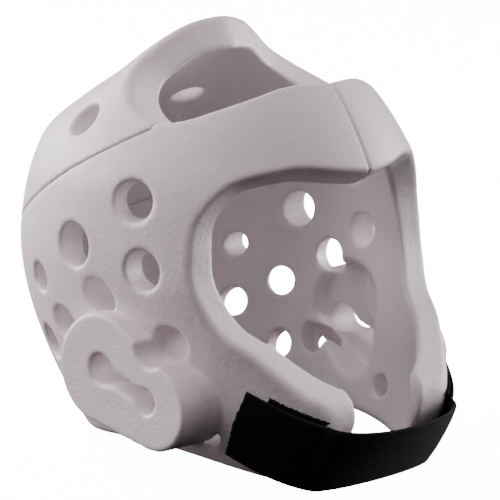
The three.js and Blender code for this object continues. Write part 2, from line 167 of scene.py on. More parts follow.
@dataclass(frozen=True)
class FoamFinish:
    """Dipped vinyl skin over foam."""
    # """Dipped vinyl skin over foam, with a lighter colour painted on the inner surface as painted light."""

    outside: Colour = (0.84, 0.755, 0.775, 1.0)
    # Colour of the inner surface, lighter than the outside: painted light that brightens the inside of the
    # shell
    painted_inner_light: Colour = (0.88, 0.82, 0.84, 1.0)
    speck: Colour = (0.45, 0.42, 0.42, 1.0)
    roughness: float = 0.46
    roughness_swing: float = 0.12
    coat: float = 0.12
    coat_roughness: float = 0.3
    wrinkle_scale: float = 420.0
    wrinkle_detail: float = 3.0
    wrinkle_roughness: float = 0.6
    wrinkle_distortion: float = 0.8
    wrinkle_depth: float = 0.00035
    swell_scale: float = 38.0
    swell_detail: float = 2.0
    swell_roughness: float = 0.5
    swell_depth: float = 0.0007
    speck_scale: float = 75.0
    speck_size: float = 0.028


@dataclass(frozen=True)
class ClothFinish:
    """Black woven or piled cloth, with threads in two directions of its own UV map in millimetres."""

    dark: Colour
    light: Colour
    along_pitch: float
    across_pitch: float
    relief: float
    roughness: float = 0.85
    sheen: float = 0.06
    sheen_roughness: float = 0.5
    specular: float = 0.12
    waver: float = 1.2
    waver_detail: float = 1.0
    waver_scale: float = 2.0
    fuzz_scale: float = 900.0
    fuzz_detail: float = 2.0


WEBBING = ClothFinish((0.0015, 0.0014, 0.0013, 1.0), (0.005, 0.0044, 0.0038, 1.0), 1.3, 0.9, 0.00022)
HOOK_PILE = ClothFinish((0.002, 0.002, 0.002, 1.0), (0.008, 0.008, 0.008, 1.0), 0.8, 0.8, 0.0004, sheen=0.04)


def soft_max(first: Array, second: Array, reach: float | Array) -> Array:
    """Larger of two fields, with the edge where they meet rounded off.

    Args:
        first: One distance field.
        second: The other distance field.
        reach: How far from the edge the rounding starts, in millimetres.

    Returns:
        The joined field.
    """
    overlap = np.maximum(reach - np.abs(first - second), 0.0) / reach
    return np.maximum(first, second) + overlap * overlap * reach / 4.0


def soft_min(first: Array, second: Array, reach: float | Array) -> Array:
    """Smaller of two fields, with the corner where they meet filleted."""
    return -soft_max(-first, -second, reach)


def curve(before: Array, low: Array, high: Array, after: Array, share: Array) -> Array:
    """Smooth curve between two values of a table.

    Args:
        before: Value before the low one.
        low: Value where the share is 0.
        high: Value where the share is 1.
        after: Value after the high one.
        share: Places between the two.

    Returns:
        The curve's values.
    """
    leave = (high - before) / 2
    arrive = (after - low) / 2
    cubic = 2 * low - 2 * high + leave + arrive
    square = 3 * high - 3 * low - 2 * leave - arrive
    return ((cubic * share + square) * share + leave) * share + low


def smooth_rows(rows: Array, steps: int, closed: bool) -> Array:
    """Smooth curve through a table's rows.

    Args:
        rows: The table, one point a row.
        steps: Points made for each row.
        closed: Whether the last row leads back to the first.

    Returns:
        The curve's points; an open curve ends on the last row.
    """
    count = len(rows)
    spans = count if closed else count - 1
    place = np.arange(spans * steps + (0 if closed else 1)) / steps
    start = np.minimum(place.astype(int), spans - 1)
    share = (place - start)[:, None]

    def row(offset: int) -> Array:
        """Row at an offset from each span's start."""
        index = start + offset
        return rows[index % count if closed else np.clip(index, 0, count - 1)]

    return curve(row(-1), row(0), row(1), row(2), share)


def make_object(name: str, points: Array, faces: Array, material: Material) -> Piece:
    """Smooth-shaded object from points in millimetres.

    Args:
        name: Name of the piece.
        points: Points in millimetres, before the shift that centres the guard.
        faces: Corner numbers of each face, all of one count.
        material: Its material.

    Returns:
        The object, linked to the scene.
    """
    placed = (points + (0.0, CENTRE_SHIFT, 0.0)) * METRES
    mesh = bpy.data.meshes.new(name)
    mesh.from_pydata(placed.tolist(), [], faces.tolist())
    mesh.validate()
    mesh.shade_smooth()
    mesh.materials.append(material)
    piece = bpy.data.objects.new(name, mesh)
    bpy.context.scene.collection.objects.link(piece)
    return piece


def declare(piece: Piece, node: str) -> None:
    """Puts a piece on the root body and hides the solid that it stands for.

    Args:
        piece: The piece.
        node: The solid's name in the frame.
    """
    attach(piece, "root")
    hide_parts(node)


@dataclass(frozen=True)
class ShellSurface:
    """Outer surface of the shell as level sections round the head."""

    step_bearing: float = 1.0
    step_place: float = 0.04
    dome_start: float = 0.55
    halvings: int = 30
    lookup_steps: int = 100

    @property
    def last(self) -> int:
        """Number of the top section."""
        return len(SECTIONS) - 1

    def value(self, column: str, place: Array) -> Array:
        """Value of one column of the sections.

        Args:
            column: Name of the column.
            place: Places that count along the sections.

        Returns:
            The smooth curve's values there.
        """
        table = SECTIONS[:, SECTION_COLUMNS.index(column)]
        start = np.clip(np.floor(place).astype(int), 0, self.last - 1)
        share = place - start
        rows = (table[np.clip(start + step, 0, self.last)] for step in (-1, 0, 1, 2))
        return curve(*rows, share)

    def place_at(self, up: Array) -> Array:
        """Places along the sections at heights in millimetres."""
        places = np.linspace(0, self.last, self.lookup_steps * self.last + 1)
        return np.interp(up, self.value("up", places) * SHELL_HEIGHT, places)

    def half(self, place: Array, ahead: Array) -> tuple[Array, Array, Array]:
        """Half width, reach and bend of the sections for points ahead of or behind the middle.

        Args:
            place: Places that count along the sections.
            ahead: Anything that is at least 0 in the front half.

        Returns:
            Half width and reach in millimetres, and the bend.
        """
        front = np.asarray(ahead) >= 0
        side = self.value("side", place) * SHELL_HALF_WIDTH
        front_reach = self.value("front", place) * SHELL_FRONT
        rear_reach = self.value("rear", place) * SHELL_REAR
        reach = np.where(front, front_reach, rear_reach)
        bend = np.where(front, self.value("brow", place), self.value("nape", place))
        return side, reach, bend

    def point(self, place: Array, bearing: Array) -> Array:
        """Points of the surface.

        Args:
            place: Places that count along the sections.
            bearing: Bearings in degrees from the front over the left.

        Returns:
            Points in millimetres.
        """
        place, bearing = np.broadcast_arrays(np.asarray(place, float), np.asarray(bearing, float))
        aside = np.sin(np.radians(bearing))
        ahead = np.cos(np.radians(bearing))
        side, reach, bend = self.half(place, ahead)
        size = np.abs(aside / side) ** (2 / bend) + np.abs(ahead / reach) ** (2 / bend)
        radius = size ** (-bend / 2)
        return np.stack([radius * aside, -radius * ahead, self.value("up", place) * SHELL_HEIGHT], -1)

    def normal(self, place: Array, bearing: Array) -> Array:
        """Outward normals of the surface, for the same arguments as point."""
        turn = self.step_bearing
        step = self.step_place
        along = self.point(place, bearing + turn) - self.point(place, bearing - turn)
        rise = self.point(place + step, bearing) - self.point(place - step, bearing)
        normal = np.cross(along, rise)
        return normal / np.linalg.norm(normal, axis=-1, keepdims=True)

    def flank(self, forward: Array, up: Array) -> Arrays:
        """Points and normals of the right flank, seen from the side.

        Args:
            forward: Distances ahead of the middle, in millimetres.
            up: Heights in millimetres.

        Returns:
            Points and outward normals.
        """
        place = self.place_at(up)
        side, reach, bend = self.half(place, forward)
        x = side * np.maximum(1 - np.abs(forward / reach) ** (2 / bend), 0) ** (bend / 2)
        bearing = np.degrees(np.arctan2(-x, forward))
        return self.point(place, bearing), self.normal(place, bearing)

    def dome(self, x: Array, forward: Array) -> Array:
        """Points of the dome above places in plan, found by halving."""
        low = np.zeros_like(x)
        high = np.full_like(x, self.last)
        for _ in range(self.halvings):
            middle = (low + high) / 2
            side, reach, bend = self.half(middle, forward)
            outside = np.abs(x / side) ** (2 / bend) + np.abs(forward / reach) ** (2 / bend) > 1
            beyond = outside & (self.value("up", middle) > self.dome_start)
            high = np.where(beyond, middle, high)
            low = np.where(beyond, low, middle)
        return np.stack([x, -forward, self.value("up", (low + high) / 2) * SHELL_HEIGHT], -1)

    def wall_at(self, up: Array) -> Array:
        """Thickness of the foam at heights in millimetres."""
        return self.value("wall", self.place_at(up)) * FOAM_WALL


def loft(rings: list[Array], start: Array, end: Array) -> Arrays:
    """Closed triangle mesh through rings of equal counts.

    Args:
        rings: Rings of points.
        start: Point that closes the first ring.
        end: Point that closes the last ring.

    Returns:
        Points and triangles.
    """
    count = len(rings[0])
    points = np.vstack([*rings, start, end])
    here = np.arange(count)
    following = (here + 1) % count
    faces = []
    for base in range(0, (len(rings) - 1) * count, count):
        faces.append(np.stack([base + here, base + following, base + count + following], 1))
        faces.append(np.stack([base + here, base + count + following, base + count + here], 1))
    first = len(rings) * count
    top = first - count
    faces.append(np.stack([np.full(count, first), following, here], 1))
    faces.append(np.stack([np.full(count, first + 1), top + here, top + following], 1))
    return points, np.vstack(faces)


@dataclass(frozen=True)
class Lattice:
    """Regular lattice of points over the right half of the head, up to and with the middle plane."""

    spacing: float = 1.25
    low: Corner = (-90, -108, -6)
    high: Corner = (0, 108, 189)
    band: float = 27.0
    kept_steps: float = 2.0

    @property
    def shape(self) -> Corner:
        """Counts of points along X, Y and Z."""
        return tuple(high - low + 1 for low, high in zip(self.low, self.high))

    def axis(self, index: int) -> Array:
        """Coordinates along one axis, shaped to combine with the other two."""
        line = np.arange(self.low[index], self.high[index] + 1) * self.spacing
        shape = [1, 1, 1]
        shape[index] = -1
        return line.reshape(shape).astype(np.float32)

    def distances(self, points: Array, faces: Array) -> Array:
        """Signed distances to a closed mesh, negative inside.

        Args:
            points: The mesh's points in millimetres.
            faces: Its triangles.

        Returns:
            Distances at the lattice's points, no larger than the band.
        """
        grid = vdb.FloatGrid.createLevelSetFromPolygons(
            points.astype(np.float32),
            triangles=faces.astype(np.uint32),
            transform=vdb.createLinearTransform(voxelSize=self.spacing),
            halfWidth=self.band / self.spacing,
        )
        values = np.empty(self.shape, np.float32)
        grid.copyToArray(values, ijk=self.low)
        return values

    def surface(self, values: Array, low: Corner) -> Arrays:
        """Quad mesh where a field is zero.

        Args:
            values: The field.
            low: Lattice numbers of the field's first corner.

        Returns:
            Points in millimetres and quads.
        """
        limit = self.kept_steps * self.spacing
        grid = vdb.FloatGrid(limit)
        grid.transform = vdb.createLinearTransform(voxelSize=self.spacing)
        grid.copyFromArray(np.clip(values, -limit, limit), ijk=low)
        points, quads = grid.convertToQuads(isovalue=0.0)
        return points.astype(float), quads[:, ::-1].astype(int)


@dataclass(frozen=True)
class EarPod:
    """Hollow pod over the ear, seen from the side as forward and up in millimetres."""

    out: float = 105.0
    skin: float = 20.5
    rear: Pair = (9.0, 54.3)
    rear_radius: float = 29.0
    front: Pair = (49.3, 41.2)
    front_radius: float = 22.0
    hollow_rear: Pair = (21.5, 65.0)
    hollow_rear_radius: float = 23.5
    hollow_front: Pair = (33.0, 43.0)
    hollow_front_radius: float = 13.0
    slot_root: float = 4.0
    slot_rear: Pair = (10.5, 54.4)
    slot_rear_radius: float = 8.0
    slot_front: Pair = (44.1, 43.8)
    slot_front_radius: float = 6.0
    slot_neck: float = 7.5
    notch: Pair = (44.9, 72.0)
    notch_radius: float = 10.0
    notch_floor: float = 85.0
    notch_wall: float = 6.0
    slant_radius: float = 6.0
    slant_end: Point = (-97.0, 9.7, 33.4)
    slant_run: Point = (22.0, -20.2, 6.5)
    root: float = 2.0
    start: float = 50.0
    edge_round: float = 1.8
    base_fillet: float = 1.5
    hollow_round: float = 5.0
    slot_round: float = 1.6
    neck_blend: float = 5.0
    notch_round: float = 1.3
    slant_round: float = 2.4

    @staticmethod
    def between(rear: tuple, front: tuple, forward: Array, up: Array) -> tuple[Array, Array, float]:
        """Places along and across the line between two points in side view, and its length.

        Args:
            rear: Rear point as forward and up.
            front: Front point as forward and up.
            forward: Distances ahead of the middle.
            up: Heights.

        Returns:
            Distances along and across the line, and the line's length.
        """
        run = front[0] - rear[0]
        rise = front[1] - rear[1]
        length = math.hypot(run, rise)
        ahead = forward - rear[0]
        above = up - rear[1]
        return (ahead * run + above * rise) / length, (above * run - ahead * rise) / length, length

    def lobes(
        self, rear: tuple, front: tuple, radii: Pair, forward: Array, up: Array
    ) -> Array:
        """Distance to an outline of two lobes and the straight sides that touch both.

        Args:
            rear: Middle of the rear lobe.
            front: Middle of the front lobe.
            radii: Radius of the rear lobe and of the front lobe.
            forward: Distances ahead of the middle.
            up: Heights.

        Returns:
            Distances, negative inside the outline.
        """
        along, across, length = self.between(rear, front, forward, up)
        across = np.abs(across)
        lean = (radii[0] - radii[1]) / length
        square = math.sqrt(1 - lean * lean)
        beside = along * square - across * lean
        back = np.hypot(along, across) - radii[0]
        ahead = np.hypot(along - length, across) - radii[1]
        side = across * square + along * lean - radii[0]
        return np.where(beside < 0, back, np.where(beside > square * length, ahead, side))

    def slot(self, forward: Array, up: Array) -> Array:
        """Distance to the slot's outline: a lobe at each end and a narrower neck that curves into both."""
        along, across, length = self.between(self.slot_rear, self.slot_front, forward, up)
        rear = np.hypot(along, across) - self.slot_rear_radius
        front = np.hypot(along - length, across) - self.slot_front_radius
        neck = np.maximum(np.abs(across) - self.slot_neck / 2, np.abs(along - length / 2) - length / 2)
        return soft_min(soft_min(rear, neck, self.neck_blend), front, self.neck_blend)

    def solid(self, x: Array, forward: Array, up: Array) -> Array:
        """Field of the whole pod on the right."""
        outline = self.lobes(self.rear, self.front, (self.rear_radius, self.front_radius), forward, up)
        return np.maximum(soft_max(outline, -x - self.out, self.edge_round), self.start + x)

    def hollow(self, x: Array, forward: Array, up: Array) -> Array:
        """Field of the recess for the ear, open to the inside, with foam left behind the notch."""
        radii = (self.hollow_rear_radius, self.hollow_front_radius)
        outline = self.lobes(self.hollow_rear, self.hollow_front, radii, forward, up)
        room = soft_max(outline, -x - (self.out - self.skin), self.hollow_round)
        around = self.notch_distance(forward, up) - self.notch_wall
        behind = np.maximum(around, self.notch_floor - self.notch_wall + x)
        return soft_max(room, -behind, self.hollow_round)

    def notch_distance(self, forward: Array, up: Array) -> Array:
        """Distance to the notch's outline."""
        return np.hypot(forward - self.notch[0], up - self.notch[1]) - self.notch_radius

    def slant(self, x: Array, forward: Array, up: Array) -> Array:
        """Field of the slanted vent from the recess out through the pod's lower rear side."""
        end = np.array(self.slant_end)
        run = np.array(self.slant_run)
        length = np.linalg.norm(run)
        offsets = (x - end[0], -forward - end[1], up - end[2])
        along = sum(offset * step for offset, step in zip(offsets, run / length))
        apart = sum(offset * offset for offset in offsets) - along * along
        reach = np.abs(along - length / 2) - length / 2
        return np.maximum(np.sqrt(np.maximum(apart, 0)) - self.slant_radius, reach)

    def cut(self, foam: Array, x: Array, forward: Array, up: Array) -> Array:
        """Foam with the slot, the slanted vent and the round notch taken out of the pod.

        Args:
            foam: Field of the foam.
            x: Distances to the left of the middle plane.
            forward: Distances ahead of the middle.
            up: Heights.

        Returns:
            The field with the cuts.
        """
        slot = soft_max(self.slot(forward, up), self.out - self.skin - self.slot_root + x, self.slot_round)
        foam = soft_max(foam, -slot, self.slot_round)
        foam = soft_max(foam, -self.slant(x, forward, up), self.slant_round)
        notch = soft_max(self.notch_distance(forward, up) + 0 * x, self.notch_floor + x, self.notch_round)
        return soft_max(foam, -notch, self.notch_round)


@dataclass(frozen=True)
class AimedOpening:
    """Opening whose edge faces run towards aim points inside the head."""

    surface: ShellSurface
    cut_start: float = 0.55
    cut_end: float = 1.2
    steps: int = 8

    def cutter(self, outline: Array, aims: Array, inner: Array, outer: Array) -> Arrays:
        """Closed mesh between an outline carried outwards and its smaller copy.

        Args:
            outline: Points of the opening's edge on the surface.
            aims: Point that each edge point's line runs towards.
            inner: Point that closes the inner ring.
            outer: Point that closes the outer ring.

        Returns:
            Points and triangles.
        """
        rings = [aims + (outline - aims) * share for share in (self.cut_start, self.cut_end)]
        return loft(rings, inner, outer)


@dataclass(frozen=True)
class CrownOpening(AimedOpening):
    """Opening in the crown, with broad faces round its rear half."""

    half_width: float = 79.0
    front_reach: float = 66.0
    aim: Point = (0.0, -25.0, 165.0)
    cut_top: float = 1.5
    rear_round: float = 4.0
    front_round: float = 2.6

    def mesh(self) -> Arrays:
        """Cutter for the opening."""
        left = CROWN_EDGE * (self.half_width, self.front_reach)
        right = left[-2:0:-1] * (-1, 1)
        plan = smooth_rows(np.vstack([left, right]), self.steps, closed=True)
        outline = self.surface.dome(plan[:, 0], plan[:, 1])
        aim = np.array(self.aim)
        return self.cutter(outline, aim, aim, np.array((0.0, 0.0, SHELL_HEIGHT * self.cut_top)))

    def rounding(self, forward: Array) -> Array:
        """Edge rounding, crisp on the brow band and softer towards the rear."""
        share = np.clip(forward / self.front_reach + 0.5, 0, 1)
        return (self.rear_round + (self.front_round - self.rear_round) * share).astype(np.float32)


@dataclass(frozen=True)
class FaceOpening(AimedOpening):
    """Opening for the face, down both cheeks and through the chin."""

    aim: Point = (0.0, -20.0, 110.0)
    cut_front: float = 2.0
    edge_round: float = 3.4

    def mesh(self) -> Arrays:
        """Cutter for the opening and the chin gap below it."""
        rows = smooth_rows(FACE_EDGE, self.steps, closed=False)
        bearing, up, across = rows.T
        left = self.surface.point(self.surface.place_at(up * SHELL_HEIGHT), bearing)
        level = left * (0, 1, 1)
        left_aim = np.array(self.aim) * (1 - across[:, None]) + level * across[:, None]
        right = left * (-1, 1, 1)
        outline = np.vstack([right, left[:0:-1]])
        aims = np.vstack([left_aim, left_aim[:0:-1]])
        inner = np.array((0.0, 0.0, self.aim[2]))
        outer = np.array((0.0, -SHELL_FRONT * self.cut_front, self.aim[2]))
        return self.cutter(outline, aims, inner, outer)


@dataclass(frozen=True)
class Rim:
    """Lower rim, which arches up between its front and rear rests."""

    rise: float = 11.0
    front: float = 106.0
    rear: float = 52.0
    rounding: float = 6.0

    def field(self, forward: Array, up: Array) -> Array:
        """Field that is negative above the rim."""
        share = np.clip((forward + self.rear) / (self.front + self.rear), 0, 1)
        return 4 * self.rise * share * (1 - share) - up


@dataclass(frozen=True)
class Seams:
    """Hairline seams between the two side guards and the crown cap."""

    forward: float = 17.0
    up: float = 179.0
    slope: float = 0.6
    gap: float = 0.05
    rounding: float = 0.9

    def crown(self, forward: Array, up: Array) -> Array:
        """Field that is negative on the crown cap's side of its seam."""
        line = self.up - self.slope * (self.forward - forward)
        return np.maximum((line - up) / math.hypot(1, self.slope), forward - self.forward)

    def zone(self, zone: Zone, x: Array, forward: Array, up: Array) -> Array:
        """Field that is negative inside one piece's share of the shell."""
        crown = self.crown(forward, up)
        if zone is Zone.CROWN:
            return crown + 0 * x
        sign = 1 if zone is Zone.RIGHT else -1
        return soft_max(sign * x, -crown, self.rounding)


@dataclass(frozen=True)
class Vent:
    """Round vent on the right side, narrower towards the inside, and repeated on the left."""

    bearing: float
    up: float
    across: float
    ahead: float
    rise: float
    diameter: float = 22.0
    taper: float = 0.17
    half_length: float = 1.4
    margin: float = 1.5
    rounding: float = 2.6

    def cut(self, foam: Array, surface: ShellSurface, lattice: Lattice) -> None:
        """Takes the vent out of the foam in place.

        Args:
            foam: Field of the foam on the lattice.
            surface: The shell's surface.
            lattice: The lattice that the field is on.
        """
        place = surface.place_at(np.array(self.up * SHELL_HEIGHT))
        mouth = surface.point(place, np.array(-self.bearing))
        end = mouth - surface.normal(place, np.array(-self.bearing)) * FOAM_WALL
        end += np.array((0.0, -self.ahead, self.rise)) * FOAM_WALL
        lean = (mouth - end) / np.linalg.norm(mouth - end)
        middle = (mouth + end) / 2
        reach = self.diameter / 2 + FOAM_WALL * self.margin
        spans = []
        for index in range(3):
            first = int((middle[index] - reach) / lattice.spacing) - lattice.low[index]
            last = int((middle[index] + reach) / lattice.spacing) - lattice.low[index]
            spans.append(slice(max(first, 0), max(last, 1)))
        offsets = [lattice.axis(index) - middle[index] for index in range(3)]
        near = [offsets[0][spans[0]], offsets[1][:, spans[1]], offsets[2][:, :, spans[2]]]
        along = sum(offset * axis for offset, axis in zip(near, lean))
        apart = sum(offset * offset for offset in near) - along * along
        radius = self.across * self.diameter / 2 * (1 + self.taper * (along / FOAM_WALL - 0.5))
        round_wall = np.sqrt(np.maximum(apart, 0)) - radius
        vent = np.maximum(round_wall, np.abs(along) - FOAM_WALL * self.half_length)
        here = tuple(spans)
        foam[here] = soft_max(foam[here], -vent, self.rounding)


@dataclass
class FoamShell:
    """The dipped foam shell, moulded as one field and parted at its seams."""

    finish: FoamFinish = FoamFinish()
    lattice: Lattice = Lattice()
    surface: ShellSurface = ShellSurface()
    pod: EarPod = EarPod()
    rim: Rim = Rim()
    seams: Seams = Seams()
    bearings: int = 180
    places: int = 6
    # Depth under the outer surface where the painted light on the inner surface starts, and over how many
    # millimetres it blends in
    painted_light_start: float = 4.0
    painted_light_blend: float = 5.0
    inner_round: float = 2.5
    fill: float = 0.9
    pieces: dict[Zone, Piece] = field(default_factory=dict)

    def outer_mesh(self) -> Arrays:
        """Closed mesh of the shell's outer surface."""
        place = np.linspace(0, self.surface.last, self.places * self.surface.last + 1)
        bearing = np.arange(self.bearings) * 360 / self.bearings
        rings = [self.surface.point(np.full(self.bearings, each), bearing) for each in place]
        return loft(rings, rings[0].mean(0), rings[-1].mean(0))

    def fields(self) -> Arrays:
        """Fields of the foam and of the outer surface on the right half's lattice."""
        x, y, up = (self.lattice.axis(index) for index in range(3))
        forward = -y
        skin = self.lattice.distances(*self.outer_mesh())
        pod = self.pod.solid(x, forward, up)
        outer = soft_min(skin, pod, self.pod.base_fillet)
        wall = self.surface.wall_at(up.astype(float)).astype(np.float32)
        foam = skin.copy()
        for row in VENTS:
            Vent(*row).cut(foam, self.surface, self.lattice)
        foam = soft_min(foam, np.maximum(pod, -skin - self.pod.root), self.pod.base_fillet)
        inside = soft_min(skin + wall, self.pod.hollow(x, forward, up), self.pod.hollow_round)
        foam = soft_max(foam, -inside, self.inner_round)
        foam = self.pod.cut(foam, x, forward, up)
        crown = CrownOpening(self.surface)
        foam = soft_max(foam, -self.lattice.distances(*crown.mesh()), crown.rounding(forward))
        face = FaceOpening(self.surface)
        foam = soft_max(foam, -self.lattice.distances(*face.mesh()), face.edge_round)
        foam = soft_max(foam, self.rim.field(forward, up), self.rim.rounding)
        return foam.astype(np.float32), outer.astype(np.float32)

    def build(self) -> None:
        """Makes the three moulded pieces."""
        foam, outer = (np.concatenate([half, half[-2::-1]]) for half in self.fields())
        low = self.lattice.low
        spacing = self.lattice.spacing
        x = np.arange(low[0], -low[0] + 1).reshape(-1, 1, 1) * spacing
        forward = -self.lattice.axis(1)
        up = self.lattice.axis(2)
        material = foam_material(self.finish)
        for zone in Zone:
            part = self.seams.zone(zone, x, forward, up) + self.seams.gap
            points, quads = self.lattice.surface(soft_max(foam, part, self.seams.rounding), low)
            piece = make_object(f"dipped_{zone.value}", points, quads, material)
            self.paint_inner_light(piece, points, outer)
            declare(piece, zone.value)
            self.pieces[zone] = piece

    def paint_inner_light(self, piece: Piece, points: Array, outer: Array) -> None:
        """Marks how deep each point lies under the outer surface, for the lighter colour painted on the
        inner surface as painted light.

        Args:
            piece: The piece.
            points: Its points in millimetres.
            outer: Field of the outer surface.
        """
        index = np.rint(points / self.lattice.spacing).astype(int) - self.lattice.low
        index = np.clip(index, 0, np.array(outer.shape) - 1)
        depth = -outer[index[:, 0], index[:, 1], index[:, 2]]
        share = np.clip((depth - self.painted_light_start) / self.painted_light_blend, 0, 1)
        # Share of the painted light on the inner surface, 0 outside and 1 deep inside
        layer = piece.data.attributes.new("painted_inner_light", "FLOAT", "POINT")
        layer.data.foreach_set("value", share.astype(np.float32))


@dataclass(frozen=True)
class StrapPath:
    """Where the strap lies on the right cheek, in side view."""

    width: float = 38.5
    lean: float = 21.0
    end: Pair = (86.5, 54.5)
    fold: Pair = (118.0, 38.0)

    def place(self, along: Array, down: Array) -> Arrays:
        """Forward and up for shares along the cheek and down the strap's width."""
        drop = self.width * down
        lean = math.radians(self.lean)
        forward = self.end[0] + (self.fold[0] - self.end[0]) * along - drop * math.sin(lean)
        up = self.end[1] + (self.fold[1] - self.end[1]) * along - drop * math.cos(lean)
        return forward, up

    @property
    def cheek(self) -> float:
        """Length of the strap on one cheek."""
        return math.dist(self.end, self.fold)


@dataclass
class ChinStrap:
    """Ribbed elastic strap from cheek to cheek, with cut ends."""

    surface: ShellSurface
    path: StrapPath = StrapPath()
    finish: ClothFinish = WEBBING
    seat: float = 2.2
    thickness: float = 2.0
    bow: float = 8.0
    tilt: float = 12.0
    cheek_steps: int = 36
    front_steps: int = 72
    across_steps: int = 28
    edge_share: float = 0.05
    edge_thickness: float = 0.25
    fray: float = 0.7
    seed: int = 5

    def middle(self) -> Array:
        """Middle surface of the strap, as rows of points from the right end to the left end."""
        along = np.linspace(0, 1, self.cheek_steps + 1)[:, None]
        down = np.linspace(0, 1, self.across_steps + 1)[None, :]
        forward, up = self.path.place(along, down)
        point, normal = self.surface.flank(forward, up)
        right = point + normal * (self.seat + self.thickness / 2)
        fold = right[-1]
        across = -np.cos(np.pi * np.arange(1, self.front_steps) / self.front_steps)
        ease = np.sqrt(1 - across * across)[:, None]
        turn = np.radians(self.tilt) * ease
        rise = fold[:, 2] - fold[-1, 2]
        ahead = fold[:, 1] - fold[-1, 1]
        y = fold[-1, 1] + ahead * np.cos(turn) - rise * np.sin(turn) - self.bow * ease
        z = fold[-1, 2] + rise * np.cos(turn) + ahead * np.sin(turn)
        front = np.stack([-fold[:, 0] * across[:, None], y, z], -1)
        return np.concatenate([right, front, right[::-1] * (-1, 1, 1)])

    def build(self) -> Piece:
        """Makes the strap as a closed band with rounded selvedges and slightly uneven cut ends."""
        middle = self.middle()
        rows, columns = middle.shape[:2]
        run = np.gradient(middle, axis=0)
        fall = np.gradient(middle, axis=1)
        normal = np.cross(fall, run)
        normal /= np.linalg.norm(normal, axis=2, keepdims=True)
        normal *= np.sign((normal[rows // 2, 0] * (0, -1, 0)).sum())
        generator = np.random.default_rng(self.seed)
        step = run / np.linalg.norm(run, axis=2, keepdims=True)
        for row, sign in ((0, -1), (rows - 1, 1)):
            middle[row] += sign * step[row] * generator.uniform(0, self.fray, (columns, 1))
        share = np.linspace(0, 1, columns)
        edge = np.clip(np.minimum(share, 1 - share) / self.edge_share, 0, 1)
        bulge = (1 - self.edge_thickness) * np.sqrt(edge * (2 - edge))
        half = (self.edge_thickness + bulge) * self.thickness / 2
        outside = middle + normal * half[None, :, None]
        inside = middle - normal * half[None, :, None]
        ring = np.concatenate([outside, inside[:, ::-1]], axis=1)
        count = ring.shape[1]
        points = ring.reshape(-1, 3)
        here = np.arange(count)
        after = (here + 1) % count
        starts = np.arange(rows - 1)[:, None] * count
        quads = np.stack([starts + here, starts + after, starts + count + after, starts + count + here], -1)
        flat = np.arange(columns - 1)
        cap = np.stack([flat, count - 1 - flat, count - 2 - flat, flat + 1], 1)
        last = cap[:, ::-1] + (rows - 1) * count
        faces = np.vstack([quads.reshape(-1, 4), cap, last])
        piece = make_object("elastic_strap", points, faces, cloth_material("webbing", self.finish))
        strides = np.linalg.norm(np.diff(middle.mean(1), axis=0), axis=1)
        length = np.concatenate([[0], np.cumsum(strides)])
        drop = np.concatenate([share, share[::-1]]) * self.path.width
        map_cloth(piece, np.repeat(length, count), np.tile(drop, rows))
        declare(piece, "chin_strap")
        return piece


@dataclass
class HookPatch:
    """Hook and loop patch on one cheek, under the strap's end."""

    surface: ShellSurface
    side: Side
    path: StrapPath = StrapPath()
    finish: ClothFinish = HOOK_PILE
    set_back: float = 10.0
    end_share: float = 0.97
    show: float = 2.0
    seat: float = 0.3
    thickness: float = 1.6
    along_steps: int = 40
    across_steps: int = 60
    pile: float = 0.35
    seed: int = 11

    def build(self) -> Piece:
        """Makes the patch as a slab that follows the cheek, with a rough face and edge."""
        start = self.set_back / self.path.cheek
        shift = self.show / self.path.width
        along = np.linspace(start, self.end_share, self.along_steps)[:, None]
        down = np.linspace(-shift, 1 - shift, self.across_steps)[None, :]
        generator = np.random.default_rng(self.seed)
        shape = (self.along_steps, self.across_steps)
        ragged = generator.uniform(-self.pile, self.pile, (2, *shape))
        forward, up = self.path.place(along, down)
        point, normal = self.surface.flank(forward + ragged[0], up + ragged[1])
        worn = generator.uniform(0, self.pile, shape)[..., None]
        top = point + normal * (self.seat + self.thickness - worn)
        base = point + normal * self.seat
        points = np.concatenate([top.reshape(-1, 3), base.reshape(-1, 3)])
        index = np.arange(self.along_steps * self.across_steps).reshape(shape)
        face = np.stack([index[:-1, :-1], index[1:, :-1], index[1:, 1:], index[:-1, 1:]], -1).reshape(-1, 4)
        loop = np.concatenate([index[:-1, 0], index[-1, :-1], index[:0:-1, -1], index[0, :0:-1]])
        following = np.roll(loop, -1)
        wall = np.stack([following, loop, loop + index.size, following + index.size], 1)
        quads = np.vstack([face, wall, face[:, ::-1] + index.size])
        if self.side is Side.LEFT:
            points = points * (-1, 1, 1)
            quads = quads[:, ::-1]
        word = self.side.value
        piece = make_object(f"hook_pile_{word}", points, quads, cloth_material("hook_pile", self.finish))
        map_cloth(piece, points[:, 1], points[:, 2])
        declare(piece, f"hook_patch_{word}")
        return piece


def map_cloth(piece: Piece, along: Array, down: Array) -> None:
    """Gives a piece a UV map in millimetres along and down the cloth.

    Args:
        piece: The piece.
        along: Place along the cloth of each point.
        down: Place across the cloth of each point.
    """
    layer = piece.data.uv_layers.new(name="cloth")
    corners = np.empty(len(piece.data.loops), np.int32)
    piece.data.loops.foreach_get("vertex_index", corners)
    layer.data.foreach_set("uv", np.stack([along[corners], down[corners]], 1).astype(np.float32).ravel())


def set_node(node: Node, **settings: object) -> None:
    """Sets a node's sockets or properties by name.

    Args:
        node: The node.
        settings: Properties, or input sockets written with underscores for spaces.
    """
    for name, value in settings.items():
        socket = node.inputs.get(name.replace("_", " "))
        if socket is None:
            setattr(node, name, value)
        else:
            socket.default_value = value


